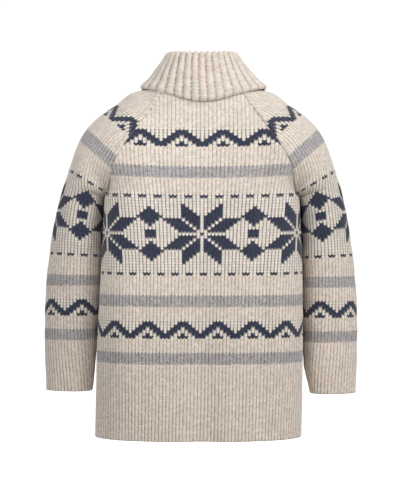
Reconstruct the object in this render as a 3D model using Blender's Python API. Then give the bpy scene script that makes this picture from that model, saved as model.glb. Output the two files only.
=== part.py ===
"""A long raglan pullover with a turned down turtleneck, filled out as if worn, metres, +Z up.

The back faces -Y. Each piece is a closed wall of cloth: an outer surface and a plainer inner surface
a wall's thickness inside it, joined round every edge. The hem, the cuffs and the collar are ribbed.
"""

import bpy
import numpy as np

WALL = 0.0034
RIB_HEIGHT = 0.0012
COLLAR_WALL = 0.0030
COLLAR_RIB_HEIGHT = 0.0014
SEAM_GAP = 0.0006
# The front's seam is a little wider at the neck, so that the inner walls stay as far apart there.
NECK_CLEARANCE = 0.00032

HEM_HEIGHT = -0.737
UNDERARM_HEIGHT = -0.226
NECK_HEIGHT = 0.012
HEM_RIB_TOP = -0.640
CUFF_RIB_LENGTH = 0.075

HEM_RIBS_PER_PANEL = 68
CUFF_RIBS = 46
COLLAR_RIBS = 34
BODY_PITCH = 0.0225
SLEEVE_PITCH = 0.0200

BODY_POWER = 2.35

# Heights of the rows over the underarm, shared by the body and the sleeves so that their edges match.
OUTER_YOKE = (-0.2260, -0.2190, -0.2100, -0.1980, -0.1840, -0.1600, -0.1340, -0.1080, -0.0820, -0.0560,
              -0.0300, -0.0080, 0.0120)
INNER_YOKE = (-0.2260, -0.2190, -0.2100, -0.1980, -0.1840, -0.1600, -0.1200, -0.0820, -0.0300, 0.0120)

# Level rings of the body. Over the underarm a ring is cut where the raglan seam crosses it.
BODY_NAMES = ("height", "half_width", "back_depth", "front_depth", "shift")
BODY_RINGS = (
    (-0.7370, 0.2205, 0.1250, 0.1270, -0.0060),
    (-0.6600, 0.2205, 0.1245, 0.1270, -0.0042),
    (-0.5800, 0.2204, 0.1240, 0.1270, -0.0030),
    (-0.4470, 0.2172, 0.1225, 0.1270, 0.0000),
    (-0.3500, 0.2135, 0.1210, 0.1275, 0.0018),
    (-0.2260, 0.2075, 0.1200, 0.1270, 0.0020),
    (-0.2144, 0.2060, 0.1200, 0.1265, 0.0020),
    (-0.1943, 0.2163, 0.1195, 0.1250, 0.0020),
    (-0.1762, 0.2325, 0.1180, 0.1230, 0.0022),
    (-0.1476, 0.2503, 0.1145, 0.1190, 0.0025),
    (-0.1228, 0.2650, 0.1100, 0.1145, 0.0028),
    (-0.0994, 0.2620, 0.1050, 0.1090, 0.0030),
    (-0.0723, 0.2440, 0.0985, 0.1015, 0.0030),
    (-0.0443, 0.2080, 0.0905, 0.0930, 0.0028),
    (-0.0222, 0.1700, 0.0830, 0.0845, 0.0024),
    (0.0120, 0.0895, 0.0715, 0.0725, 0.0020),
)

# The raglan seam: half the distance between the two seams at each height.
SEAM_NAMES = ("height", "half_width")
SEAM = (
    (-0.2260, 0.2075),
    (-0.2144, 0.1995),
    (-0.1943, 0.1940),
    (-0.1762, 0.1905),
    (-0.1476, 0.1800),
    (-0.1228, 0.1650),
    (-0.0994, 0.1490),
    (-0.0723, 0.1293),
    (-0.0443, 0.1080),
    (-0.0222, 0.0930),
    (0.0120, 0.0745),
)

# How far the middle of the front's rows hangs under their ends, towards the neck.
FRONT_DROP_NAMES = ("height", "drop")
FRONT_DROP = ((-0.737, 0.0), (-0.140, 0.0), (-0.090, 0.004), (-0.040, 0.014), (0.012, 0.026))

# The outer line of the right sleeve, from the cuff over the shoulder to the neck.
TOP_LINE_NAMES = ("width", "height")
TOP_LINE = (
    (0.3345, -0.6480),
    (0.3352, -0.6192),
    (0.3376, -0.5805),
    (0.3392, -0.5200),
    (0.3378, -0.4500),
    (0.3332, -0.3870),
    (0.3268, -0.3354),
    (0.3180, -0.2838),
    (0.3055, -0.2322),
    (0.2968, -0.2010),
    (0.2892, -0.1806),
    (0.2805, -0.1548),
    (0.2722, -0.1290),
    (0.2615, -0.1032),
    (0.2450, -0.0774),
    (0.2185, -0.0516),
    (0.1825, -0.0265),
    (0.1656, -0.0122),
    (0.1500, -0.0024),
    (0.1350, 0.0012),
    (0.1200, 0.0050),
    (0.1000, 0.0112),
    (0.0850, 0.0155),
)
TOP_LINE_UNDERARM = 9

# Closed rings of the sleeve from the cuff to the underarm: where the inner line is, how far it stands
# off the side of the body, half the depth of the ring and how far it hangs to the front.
SLEEVE_NAMES = ("inner_height", "outer_height", "stand_off", "half_depth", "hang")
SLEEVE_RINGS = (
    (-0.6480, -0.6480, 0.0150, 0.0440, 0.0230),
    (-0.5800, -0.5800, 0.0050, 0.0490, 0.0260),
    (-0.5200, -0.5200, 0.0016, 0.0530, 0.0280),
    (-0.4500, -0.4500, 0.0008, 0.0575, 0.0285),
    (-0.3870, -0.3850, 0.0010, 0.0620, 0.0270),
    (-0.3300, -0.3210, 0.0014, 0.0665, 0.0230),
    (-0.2900, -0.2740, 0.0018, 0.0690, 0.0170),
    (-0.2500, -0.2270, 0.0020, 0.0705, 0.0075),
    (-0.2260, -0.2010, 0.0006, 0.0700, 0.0000),
)

# Rows of the sleeve over the underarm leave the seam at an angle to the row's own plane; the reaches
# are the lengths of the curve's handles at the seam and at the top line.
YOKE_NAMES = ("seam_height", "angle", "seam_reach", "top_reach")
YOKE_ROWS = (
    (-0.2260, 90.0, 0.0933, 0.0933),
    (-0.2144, 66.0, 0.0760, 0.0910),
    (-0.1943, 30.0, 0.0560, 0.0850),
    (-0.1762, 8.0, 0.0460, 0.0760),
    (-0.1476, -10.0, 0.0430, 0.0660),
    (-0.1228, -16.0, 0.0430, 0.0600),
    (-0.0994, -17.0, 0.0410, 0.0540),
    (-0.0723, -18.0, 0.0380, 0.0510),
    (-0.0443, -22.0, 0.0300, 0.0480),
    (-0.0222, -28.0, 0.0220, 0.0430),
    (0.0120, -34.0, 0.0080, 0.0290),
)

# The middle of the collar's cloth from the edge of the turned down flap, up over the fold and down
# the stand to the neck seam, at the side, the back and the front.
COLLAR_NAMES = ("side", "side_height", "back", "back_height", "front", "front_height", "power", "shift")
COLLAR_STATIONS = (
    (0.1365, 0.0088, 0.0945, -0.0290, 0.0985, -0.0500, 2.05, 0.0060),
    (0.1318, 0.0134, 0.0940, -0.0212, 0.0975, -0.0410, 2.05, 0.0058),
    (0.1165, 0.0250, 0.0905, -0.0025, 0.0935, -0.0195, 2.05, 0.0048),
    (0.1056, 0.0375, 0.0868, 0.0145, 0.0890, -0.0005, 2.08, 0.0036),
    (0.0955, 0.0500, 0.0830, 0.0320, 0.0845, 0.0190, 2.10, 0.0028),
    (0.0862, 0.0620, 0.0790, 0.0500, 0.0800, 0.0370, 2.10, 0.0024),
    (0.0790, 0.0725, 0.0748, 0.0675, 0.0752, 0.0540, 2.10, 0.0020),
    (0.0755, 0.0785, 0.0720, 0.0740, 0.0724, 0.0605, 2.10, 0.0020),
    (0.0715, 0.0805, 0.0685, 0.0762, 0.0688, 0.0626, 2.10, 0.0020),
    (0.0678, 0.0785, 0.0650, 0.0740, 0.0654, 0.0605, 2.10, 0.0020),
    (0.0662, 0.0735, 0.0636, 0.0685, 0.0642, 0.0550, 2.15, 0.0020),
    (0.0682, 0.0560, 0.0648, 0.0520, 0.0656, 0.0380, 2.25, 0.0020),
    (0.0730, 0.0380, 0.0668, 0.0360, 0.0680, 0.0200, 2.40, 0.0020),
    (0.0790, 0.0262, 0.0690, 0.0230, 0.0702, 0.0020, 2.55, 0.0020),
    (0.0836, 0.0185, 0.0702, 0.0150, 0.0714, -0.0110, 2.63, 0.0020),
)

# Soft folds of the body: across, height, half the width, half the length and depth of each.
FOLD_NAMES = ("across", "height", "half_across", "half_height", "depth")
BACK_FOLDS = (
    (0.041, -0.640, 0.020, 0.200, 0.0060),
    (-0.036, -0.680, 0.013, 0.110, 0.0030),
    (-0.118, -0.600, 0.022, 0.120, 0.0030),
    (0.157, -0.280, 0.018, 0.090, 0.0040),
    (0.154, -0.630, 0.016, 0.060, 0.0040),
    (-0.165, -0.240, 0.016, 0.060, 0.0030),
)
FRONT_FOLDS = (
    (0.052, -0.630, 0.022, 0.180, 0.0055),
    (-0.064, -0.660, 0.018, 0.150, 0.0045),
    (0.150, -0.270, 0.017, 0.080, 0.0035),
    (-0.152, -0.300, 0.019, 0.090, 0.0040),
    (-0.150, -0.620, 0.018, 0.090, 0.0030),
)
# Soft folds across the sleeves: distance from the cuff, half the length and depth of each.
SLEEVE_FOLDS = ((0.115, 0.016, 0.0030), (0.175, 0.014, 0.0025), (0.255, 0.018, 0.0030), (0.330, 0.015, 0.0022))

COLOURS = {
    "back": (0.67, 0.60, 0.53, 1.0),
    "front": (0.66, 0.59, 0.52, 1.0),
    "sleeve_left": (0.65, 0.58, 0.51, 1.0),
    "sleeve_right": (0.66, 0.59, 0.52, 1.0),
    "collar": (0.69, 0.63, 0.56, 1.0),
}


def column(names, table, name):
    return np.array([row[names.index(name)] for row in table], dtype=float)


def smooth_at(x, xs, ys):
    """Smooth curve through the points (xs, ys) with no overshoot, read at x."""
    x = np.clip(x, xs[0], xs[-1])
    step = np.diff(xs)
    rise = np.diff(ys) / step
    slope = np.zeros(len(xs))
    same = rise[1:] * rise[:-1] > 0
    first = 2 * step[1:] + step[:-1]
    second = step[1:] + 2 * step[:-1]
    safe_before = np.where(same, rise[:-1], 1.0)
    safe_after = np.where(same, rise[1:], 1.0)
    mean = (first + second) / (first / safe_before + second / safe_after)
    slope[1:-1] = np.where(same, mean, 0.0)
    slope[0] = rise[0]
    slope[-1] = rise[-1]
    i = np.clip(np.searchsorted(xs, x, side="right") - 1, 0, len(step) - 1)
    h = step[i]
    t = (x - xs[i]) / h
    a = (1 + 2 * t) * (1 - t) ** 2 * ys[i]
    b = t * (1 - t) ** 2 * h * slope[i]
    c = t * t * (3 - 2 * t) * ys[i + 1]
    d = t * t * (t - 1) * h * slope[i + 1]
    return a + b + c + d


def read(names, table, key, name, x):
    return smooth_at(np.asarray(x, dtype=float), column(names, table, key), column(names, table, name))


def resample(points, count):
    """Points spread evenly along each polyline of points[row, step, xyz]; also gives the lengths."""
    steps = np.linalg.norm(np.diff(points, axis=1), axis=2)
    along = np.concatenate([np.zeros((len(points), 1)), np.cumsum(steps, axis=1)], axis=1)
    length = along[:, -1]
    out = np.empty((len(points), count, 3))
    for row in range(len(points)):
        wanted = np.linspace(0, length[row], count)
        for axis in range(3):
            out[row, :, axis] = np.interp(wanted, along[row], points[row, :, axis])
    return out, length


def bezier(p0, p1, p2, p3, count):
    t = np.linspace(0, 1, count)[None, :, None]
    p0, p1, p2, p3 = (p[:, None, :] for p in (p0, p1, p2, p3))
    return (1 - t) ** 3 * p0 + 3 * t * (1 - t) ** 2 * p1 + 3 * t * t * (1 - t) * p2 + t**3 * p3


def body_half_row(height, facing):
    """Dense half rows of a body panel from the middle to its right edge, about x = 0."""
    depth_name = "back_depth" if facing < 0 else "front_depth"
    half = read(BODY_NAMES, BODY_RINGS, "height", "half_width", height)
    depth = read(BODY_NAMES, BODY_RINGS, "height", depth_name, height)
    seam = read(SEAM_NAMES, SEAM, "height", "half_width", height)
    cut = np.where(height > UNDERARM_HEIGHT, np.minimum(seam / half, 1.0), 1.0)
    power = BODY_POWER
    end = np.arcsin(np.clip(cut ** (power / 2), 0, 1))
    turn = np.linspace(0, 1, 240)[None, :] * end[:, None]
    x = half[:, None] * np.sin(turn) ** (2 / power)
    y = facing * depth[:, None] * np.maximum(np.cos(turn), 0) ** (2 / power)
    z = np.repeat(height[:, None], 240, axis=1)
    points = np.stack([x, y, z], axis=2)
    return points


def seam_point(height, facing):
    shift = read(BODY_NAMES, BODY_RINGS, "height", "shift", height)
    point = body_half_row(np.atleast_1d(height), facing)[:, -1]
    return point, np.atleast_1d(shift)


def fold_depth(table, across, height):
    total = np.zeros_like(across)
    for fold in table:
        a, h, half_a, half_h, depth = fold
        total = total + depth * np.exp(-(((across - a) / half_a) ** 2)) * np.exp(-(((height - h) / half_h) ** 2))
    return total


def body_surface(facing):
    """Dense grid over a body panel: rows by height, columns by distance along the row."""
    height = np.linspace(HEM_HEIGHT, NECK_HEIGHT, 220)
    half, length = resample(body_half_row(height, facing), 91)
    shift = read(BODY_NAMES, BODY_RINGS, "height", "shift", height)
    left = half[:, :0:-1] * np.array([-1, 1, 1])
    grid = np.concatenate([left, half], axis=1)
    grid[:, :, 0] += shift[:, None]
    across = np.linspace(-1, 1, grid.shape[1])
    if facing > 0:
        drop = read(FRONT_DROP_NAMES, FRONT_DROP, "height", "drop", height)
    else:
        drop = 0.1 * read(FRONT_DROP_NAMES, FRONT_DROP, "height", "drop", height)
    grid[:, :, 2] -= drop[:, None] * (1 - across[None, :] ** 2)
    table = BACK_FOLDS if facing < 0 else FRONT_FOLDS
    grid[:, :, 1] -= facing * fold_depth(table, grid[:, :, 0], grid[:, :, 2])
    return height, grid, length


def curve_lengths(points):
    return np.concatenate([[0], np.cumsum(np.linalg.norm(np.diff(points, axis=0), axis=1))])


def sleeve_surface(side):
    """Dense grid over a sleeve, right-hand form: rows from cuff to neck, columns from the back edge
    over the top line to the front edge. side is 1 for the right sleeve and -1 for the left."""
    widths = column(TOP_LINE_NAMES, TOP_LINE, "width")
    heights = column(TOP_LINE_NAMES, TOP_LINE, "height")
    coarse = np.stack([widths, np.zeros_like(widths), heights], axis=1)
    station = curve_lengths(coarse)
    # The closed part, by the inner line's height.
    closed_z = np.linspace(-0.6480, UNDERARM_HEIGHT, 130)
    outer_z = read(SLEEVE_NAMES, SLEEVE_RINGS, "inner_height", "outer_height", closed_z)
    rising = slice(0, TOP_LINE_UNDERARM + 3)
    outer_x = smooth_at(outer_z, heights[rising], widths[rising])
    stand = read(SLEEVE_NAMES, SLEEVE_RINGS, "inner_height", "stand_off", closed_z)
    depth = read(SLEEVE_NAMES, SLEEVE_RINGS, "inner_height", "half_depth", closed_z)
    hang = read(SLEEVE_NAMES, SLEEVE_RINGS, "inner_height", "hang", closed_z)
    half = read(BODY_NAMES, BODY_RINGS, "height", "half_width", closed_z)
    shift = read(BODY_NAMES, BODY_RINGS, "height", "shift", closed_z)
    inner_x = half + side * shift + stand
    cuff_rise = 0.009 if side < 0 else 0.0
    lift = cuff_rise * np.clip((-0.35 - closed_z) / 0.298, 0, 1)
    inner = np.stack([inner_x, hang, closed_z + lift], axis=1)
    outer = np.stack([outer_x, hang + 0.004, outer_z + lift], axis=1)
    reach = depth * 4 / 3
    # The open part, by distance from the neck, which is the same along the seam and the top line.
    rise_z = np.linspace(UNDERARM_HEIGHT, NECK_HEIGHT, 400)
    seam_back, shift_up = seam_point(rise_z, -1)
    seam_front, _ = seam_point(rise_z, 1)
    seam_length = curve_lengths(seam_back)
    wanted = np.linspace(0, 1, 111)[1:] * seam_length[-1]
    seam_z = np.interp(wanted, seam_length, rise_z)
    top_start = station[TOP_LINE_UNDERARM]
    top_wanted = top_start + wanted / seam_length[-1] * (station[-1] - top_start)
    top_x = smooth_at(top_wanted, station, widths)
    top_z = smooth_at(top_wanted, station, heights)
    open_shift = read(BODY_NAMES, BODY_RINGS, "height", "shift", seam_z)
    angle = np.radians(read(YOKE_NAMES, YOKE_ROWS, "seam_height", "angle", seam_z))
    seam_reach = read(YOKE_NAMES, YOKE_ROWS, "seam_height", "seam_reach", seam_z)
    top_reach = read(YOKE_NAMES, YOKE_ROWS, "seam_height", "top_reach", seam_z)
    top = np.stack([top_x + side * open_shift, np.full_like(top_x, 0.004), top_z], axis=1)
    top_closed_shift = side * 0.0020 * np.clip((closed_z + 0.30) / 0.074, 0, 1)
    outer[:, 0] += top_closed_shift
    rows = []
    for facing in (-1, 1):
        forward = np.array([0.0, facing, 0.0])
        near = bezier(
            inner,
            inner + reach[:, None] * forward,
            outer + reach[:, None] * forward,
            outer,
            120,
        )
        seam, _ = seam_point(seam_z, facing)
        seam[:, 0] += side * open_shift + SEAM_GAP
        if facing > 0:
            seam[:, 0] += NECK_CLEARANCE * np.clip((seam_z + 0.008) / 0.014, 0, 1)
        out = top - seam
        out[:, 1] = 0
        out /= np.linalg.norm(out, axis=1)[:, None]
        leave = np.cos(angle)[:, None] * out + np.sin(angle)[:, None] * forward
        far = bezier(
            seam,
            seam + seam_reach[:, None] * leave,
            top + top_reach[:, None] * forward,
            top,
            120,
        )
        both = np.concatenate([near, far], axis=0)
        rows.append(resample(both, 81))
    back, back_length = rows[0]
    front, front_length = rows[1]
    grid = np.concatenate([back, front[:, -2::-1]], axis=1)
    middle = (grid[:, 0] + grid[:, 80]) / 2
    along = curve_lengths(middle[: len(closed_z)])
    rise_h = along[-1] + (station[-1] - top_start) * seam_length / seam_length[-1]
    along = np.concatenate([along, along[-1] + (station[-1] - top_start) * wanted / seam_length[-1]])
    length = (back_length + front_length) / 2
    # Folds across the sleeve, deepest on the side next to the body.
    away = np.abs(np.linspace(-1, 1, grid.shape[1]))
    weight = 0.35 + 0.65 * away**2
    weight = weight * np.clip((1 - away) / 0.12 + 0.15, 0, 1)
    inward = grid[:, 80:81] * 0.5 + grid[:, 0:1] * 0.5 - grid
    inward[:, :, 2] = 0
    inward /= np.maximum(np.linalg.norm(inward, axis=2, keepdims=True), 0.02)
    sway = 0.012 * np.sin(np.linspace(-1, 1, grid.shape[1]) * 2.2 + side)
    for place, half_length, depth_of in SLEEVE_FOLDS:
        place = place + (0.018 if side < 0 else 0.0)
        bump = np.exp(-(((along[:, None] + sway[None, :] - place) / half_length) ** 2))
        grid = grid + inward * (bump * weight[None, :] * depth_of)[:, :, None]
    return along, grid, length, len(closed_z), rise_z, rise_h


def grid_normals(grid):
    """Unit normals of a dense grid: along the row crossed with up the rows."""
    rising = np.gradient(grid, axis=0)
    across = np.gradient(grid, axis=1)
    normal = np.cross(across, rising)
    size = np.linalg.norm(normal, axis=2, keepdims=True)
    return normal / np.maximum(size, 1e-12)


def sample(grid, row, col):
    """Reads a dense grid at fractional rows and columns."""
    row = np.clip(np.asarray(row, dtype=float), 0, grid.shape[0] - 1.000001)
    col = np.clip(np.asarray(col, dtype=float), 0, grid.shape[1] - 1.000001)
    r = row.astype(int)
    c = col.astype(int)
    fr = (row - r)[..., None]
    fc = (col - c)[..., None]
    a = grid[r, c] * (1 - fr) * (1 - fc)
    b = grid[r, c + 1] * (1 - fr) * fc
    d = grid[r + 1, c] * fr * (1 - fc)
    e = grid[r + 1, c + 1] * fr * fc
    return a + b + d + e


class Shell:
    """Points and triangles of one wall."""

    def __init__(self):
        self.points = []
        self.triangles = []

    def add(self, points):
        start = len(self.points)
        self.points.extend([tuple(p) for p in points])
        return list(range(start, start + len(points)))

    def zip(self, first, first_at, second, second_at, flip):
        """Triangles between two lines of points, each with rising places along them."""
        i = 0
        j = 0
        while i < len(first) - 1 or j < len(second) - 1:
            take_first = j >= len(second) - 1
            if not take_first and i < len(first) - 1:
                ahead_first = first_at[i] + first_at[i + 1]
                ahead_second = second_at[j] + second_at[j + 1]
                take_first = ahead_first <= ahead_second
            if take_first:
                tri = (first[i], first[i + 1], second[j])
                i += 1
            else:
                tri = (first[i], second[j + 1], second[j])
                j += 1
            if len(set(tri)) == 3:
                self.triangles.append(tri[::-1] if flip else tri)

    def build(self, name):
        mesh = bpy.data.meshes.new(name)
        mesh.from_pydata(self.points, [], self.triangles)
        mesh.validate()
        mesh.update()
        mesh.polygons.foreach_set("use_smooth", [True] * len(mesh.polygons))
        thing = bpy.data.objects.new(name, mesh)
        bpy.context.scene.collection.objects.link(thing)
        material = bpy.data.materials.new(name)
        material.use_nodes = True
        shader = material.node_tree.nodes["Principled BSDF"]
        shader.inputs["Base Color"].default_value = COLOURS[name]
        shader.inputs["Roughness"].default_value = 0.92
        shader.inputs["Metallic"].default_value = 0.0
        mesh.materials.append(material)
        return thing


def fade(x, low, high):
    t = np.clip((x - low) / (high - low), 0, 1)
    return t * t * (3 - 2 * t)


def make_body(name, facing):
    height, grid, length = body_surface(facing)
    normal = -facing * grid_normals(grid)
    middle = (grid.shape[1] - 1) / 2
    full = np.interp(UNDERARM_HEIGHT, height, length)
    shell = Shell()
    plain = np.linspace(HEM_RIB_TOP, UNDERARM_HEIGHT, 14)
    outer_z = np.concatenate([[HEM_HEIGHT, -0.700, HEM_RIB_TOP - 0.02], plain[:-1], OUTER_YOKE])
    inner_z = np.concatenate([np.linspace(HEM_HEIGHT, UNDERARM_HEIGHT, 11)[:-1], INNER_YOKE])
    layers = []
    for outside, levels in ((True, outer_z), (False, inner_z)):
        rows = []
        for z in levels:
            reach = np.interp(z, height, length)
            scale = reach / full if z < UNDERARM_HEIGHT else 1.0
            ribbed = outside and z < HEM_RIB_TOP - 0.001
            if ribbed:
                count = HEM_RIBS_PER_PANEL * 2 + 1
                place = np.linspace(-reach, reach, count)
                relief = np.where(np.arange(count) % 2 == 1, 1.0, 0.0)
                relief = relief * (1 - 0.5 * fade(z, HEM_RIB_TOP - 0.03, HEM_RIB_TOP)) * RIB_HEIGHT
            else:
                pitch = BODY_PITCH * (1.0 if outside else 1.5) * scale
                side_count = int(np.floor((reach - 0.35 * pitch) / pitch))
                inner_places = np.arange(-side_count, side_count + 1) * pitch
                place = np.concatenate([[-reach], inner_places, [reach]])
                relief = np.zeros(len(place))
            edge = (reach - SEAM_GAP * 0.4) / reach
            col = middle + np.clip(place / reach, -edge, edge) * middle
            row = np.full(len(place), np.interp(z, height, np.arange(len(height))))
            point = sample(grid, row, col)
            way = sample(normal, row, col)
            way /= np.linalg.norm(way, axis=1)[:, None]
            move = relief if outside else -WALL
            point = point + way * np.broadcast_to(move, (len(place),))[:, None]
            rows.append((z, place / scale, shell.add(point)))
        flip = (facing < 0) != outside
        for (z0, a0, low), (z1, a1, high) in zip(rows[:-1], rows[1:]):
            shell.zip(low, a0, high, a1, flip)
        layers.append(rows)
    outer, inner = layers
    # Hem, neck and the two side edges.
    shell.zip(outer[0][2], outer[0][1], inner[0][2], inner[0][1], facing < 0)
    shell.zip(outer[-1][2], outer[-1][1], inner[-1][2], inner[-1][1], facing > 0)
    for end, flip in ((0, facing > 0), (-1, facing < 0)):
        first = [row[2][end] for row in outer]
        second = [row[2][end] for row in inner]
        shell.zip(first, outer_z, second, inner_z, flip)
    return shell.build(name)


def make_sleeve(name, side):
    along, grid, length, closed, rise_z, rise_h = sleeve_surface(side)
    normal = grid_normals(grid)
    middle = (grid.shape[1] - 1) / 2
    underarm = along[closed - 1]
    full = length[closed - 1]
    shell = Shell()
    plain = np.linspace(CUFF_RIB_LENGTH, underarm, 13)
    outer_h = np.concatenate([[0, 0.030, CUFF_RIB_LENGTH - 0.012], plain[:-1], np.interp(OUTER_YOKE, rise_z, rise_h)])
    inner_h = np.concatenate([np.linspace(0, underarm, 12)[:-1], np.interp(INNER_YOKE, rise_z, rise_h)])
    mirror = np.array([side, 1, 1])
    layers = []
    for outside, levels in ((True, outer_h), (False, inner_h)):
        rows = []
        for h in levels:
            reach = np.interp(h, along, length)
            is_closed = h <= underarm + 1e-9
            scale = reach / full if is_closed else 1.0
            ribbed = outside and h < CUFF_RIB_LENGTH - 0.001
            if ribbed:
                count = CUFF_RIBS * 2 + 1
                place = np.linspace(-reach, reach, count)
                relief = np.where(np.arange(count) % 2 == 1, 1.0, 0.0) * RIB_HEIGHT
            else:
                pitch = SLEEVE_PITCH * (1.0 if outside else 1.4) * scale
                side_count = int(np.floor((reach - 0.35 * pitch) / pitch))
                inner_places = np.arange(-side_count, side_count + 1) * pitch
                place = np.concatenate([[-reach], inner_places, [reach]])
                relief = np.zeros(len(place))
            col = middle + place / reach * middle
            row = np.full(len(place), np.interp(h, along, np.arange(len(along))))
            point = sample(grid, row, col)
            way = sample(normal, row, col)
            if is_closed:
                joined = way[0] + way[-1]
                way[0] = joined
                way[-1] = joined
            way /= np.linalg.norm(way, axis=1)[:, None]
            move = relief if outside else -WALL
            point = point + way * np.broadcast_to(move, (len(place),))[:, None]
            if is_closed:
                point = point[:-1]
            ids = shell.add(point * mirror)
            if is_closed:
                ids = ids + ids[:1]
            rows.append((h, place / scale, ids))
        flip = (side < 0) == outside
        for (h0, a0, low), (h1, a1, high) in zip(rows[:-1], rows[1:]):
            shell.zip(low, a0, high, a1, flip)
        layers.append(rows)
    outer, inner = layers
    shell.zip(outer[0][2], outer[0][1], inner[0][2], inner[0][1], side > 0)
    shell.zip(outer[-1][2], outer[-1][1], inner[-1][2], inner[-1][1], side < 0)
    for end, flip in ((0, side < 0), (-1, side > 0)):
        first = [row[2][end] for row in outer if row[0] >= underarm - 1e-9]
        second = [row[2][end] for row in inner if row[0] >= underarm - 1e-9]
        first_at = [row[0] for row in outer if row[0] >= underarm - 1e-9]
        second_at = [row[0] for row in inner if row[0] >= underarm - 1e-9]
        shell.zip(first, first_at, second, second_at, flip)
    return shell.build(name)


def collar_ring(index, angle):
    """A ring of the collar's middle surface at polar angles from +X, turning towards the back."""
    side, side_z, back, back_z, front, front_z, power, shift = COLLAR_STATIONS[index]
    to_back = np.sin(angle) > 0
    depth = np.where(to_back, back, front)
    depth_z = np.where(to_back, back_z, front_z)
    radius = (np.abs(np.cos(angle) / side) ** power + np.abs(np.sin(angle) / depth) ** power) ** (-1 / power)
    blend = np.sin(angle) ** 2
    z = side_z + (depth_z - side_z) * blend
    return np.stack([radius * np.cos(angle) + shift, -radius * np.sin(angle), z], axis=1)


def make_collar(name):
    shell = Shell()
    stations = len(COLLAR_STATIONS)
    layers = []
    for outside, per_rib in ((True, 2), (False, 1)):
        count = COLLAR_RIBS * per_rib
        angle = np.linspace(0, 2 * np.pi, count, endpoint=False)
        grid = np.stack([collar_ring(i, angle) for i in range(stations)])
        down = np.gradient(grid, axis=0)
        round_it = np.roll(grid, -1, axis=1) - np.roll(grid, 1, axis=1)
        normal = np.cross(down, round_it)
        normal /= np.linalg.norm(normal, axis=2, keepdims=True)
        outward = normal[1, 0, 0] > 0
        normal = normal if outward else -normal
        relief = np.zeros((stations, count))
        if outside:
            relief[:, 1::2] = COLLAR_RIB_HEIGHT
            relief[0] *= 0.6
            relief[-3:] *= 0.3
        move = COLLAR_WALL / 2 + relief if outside else np.full((stations, count), -COLLAR_WALL / 2)
        points = grid + normal * move[:, :, None]
        rows = []
        for i in range(stations):
            ids = shell.add(points[i])
            rows.append(ids + ids[:1])
        place = np.linspace(0, 1, count + 1)
        for low, high in zip(rows[:-1], rows[1:]):
            shell.zip(low, place, high, place, outside)
        layers.append((rows, place))
    (outer, outer_at), (inner, inner_at) = layers
    shell.zip(outer[0], outer_at, inner[0], inner_at, False)
    shell.zip(outer[-1], outer_at, inner[-1], inner_at, True)
    return shell.build(name)


def main():
    for thing in list(bpy.data.objects):
        bpy.data.objects.remove(thing)
    made = [
        make_body("back", -1),
        make_body("front", 1),
        make_sleeve("sleeve_left", -1),
        make_sleeve("sleeve_right", 1),
        make_collar("collar"),
    ]
    total = 0
    for thing in made:
        total += len(thing.data.polygons)
        print(thing.name, len(thing.data.polygons))
    print("triangles", total)


main()
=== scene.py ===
import math

import bpy
import numpy as np
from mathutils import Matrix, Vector


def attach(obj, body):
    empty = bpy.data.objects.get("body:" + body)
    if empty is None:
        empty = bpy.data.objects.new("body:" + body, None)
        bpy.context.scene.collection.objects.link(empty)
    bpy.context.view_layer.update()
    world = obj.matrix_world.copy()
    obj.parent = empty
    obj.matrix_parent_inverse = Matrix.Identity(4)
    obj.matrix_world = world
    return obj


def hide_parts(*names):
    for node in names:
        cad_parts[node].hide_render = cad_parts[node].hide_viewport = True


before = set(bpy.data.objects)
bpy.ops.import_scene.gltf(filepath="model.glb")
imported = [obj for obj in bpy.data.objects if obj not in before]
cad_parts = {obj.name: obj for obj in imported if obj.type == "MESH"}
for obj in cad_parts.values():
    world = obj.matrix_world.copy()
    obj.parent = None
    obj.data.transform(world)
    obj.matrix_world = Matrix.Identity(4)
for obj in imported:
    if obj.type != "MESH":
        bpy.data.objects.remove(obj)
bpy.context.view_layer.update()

# Sizes shared by every piece of cloth, in metres.
cloth = {
    "wall": 0.0034,
    "hem": -0.737,
    "underarm": -0.226,
    "neck": 0.012,
    "bodyRows": 126,
    "sleeveRows": 130,
    "sleevePitch": 0.0076,
    "ringPower": 2.35,
    "flatness": 0.026,  # how far the cloth stands out beside its sides
    "turn": 0.036,  # how far before its open edge a row turns back
    "sewnOver": 0.060,  # height over the underarm in which the raglan seam comes to stand out
}
# Where the cloth stands out, as soft steps (from, to), and the share that is lost or left.
lift = {
    "sides": (0.04, 0.20),
    "chest": (-0.25, -0.15),
    "chestLoss": 0.30,
    "yoke": (-0.12, -0.02),
    "hem": (-0.74, -0.46),
    "hemShare": 0.15,
}
# How many points the smooth surfaces are read at.
samples = {
    "ring": 300, "bodyRows": 420, "bodyHalf": 141, "closedRows": 260,
    "seam": 400, "yokeRows": 210, "curve": 160, "sleeveHalf": 111,
}

# Level rings of the body, as (height, half width, back depth, front depth, shift to the right).
bodyRings = np.array((
    (-0.7370, 0.2205, 0.1250, 0.1270, -0.0060),
    (-0.6600, 0.2205, 0.1245, 0.1270, -0.0042),
    (-0.5800, 0.2204, 0.1240, 0.1270, -0.0030),
    (-0.4470, 0.2172, 0.1225, 0.1270, 0.0000),
    (-0.3500, 0.2135, 0.1210, 0.1275, 0.0018),
    (-0.2260, 0.2075, 0.1200, 0.1270, 0.0020),
    (-0.2144, 0.2060, 0.1200, 0.1265, 0.0020),
    (-0.1943, 0.2163, 0.1195, 0.1250, 0.0020),
    (-0.1762, 0.2325, 0.1180, 0.1230, 0.0022),
    (-0.1476, 0.2503, 0.1145, 0.1190, 0.0025),
    (-0.1228, 0.2650, 0.1100, 0.1145, 0.0028),
    (-0.0994, 0.2620, 0.1050, 0.1090, 0.0030),
    (-0.0723, 0.2440, 0.0985, 0.1015, 0.0030),
    (-0.0443, 0.2080, 0.0905, 0.0930, 0.0028),
    (-0.0222, 0.1700, 0.0830, 0.0845, 0.0024),
    (0.0120, 0.0895, 0.0715, 0.0725, 0.0020),
))
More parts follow.
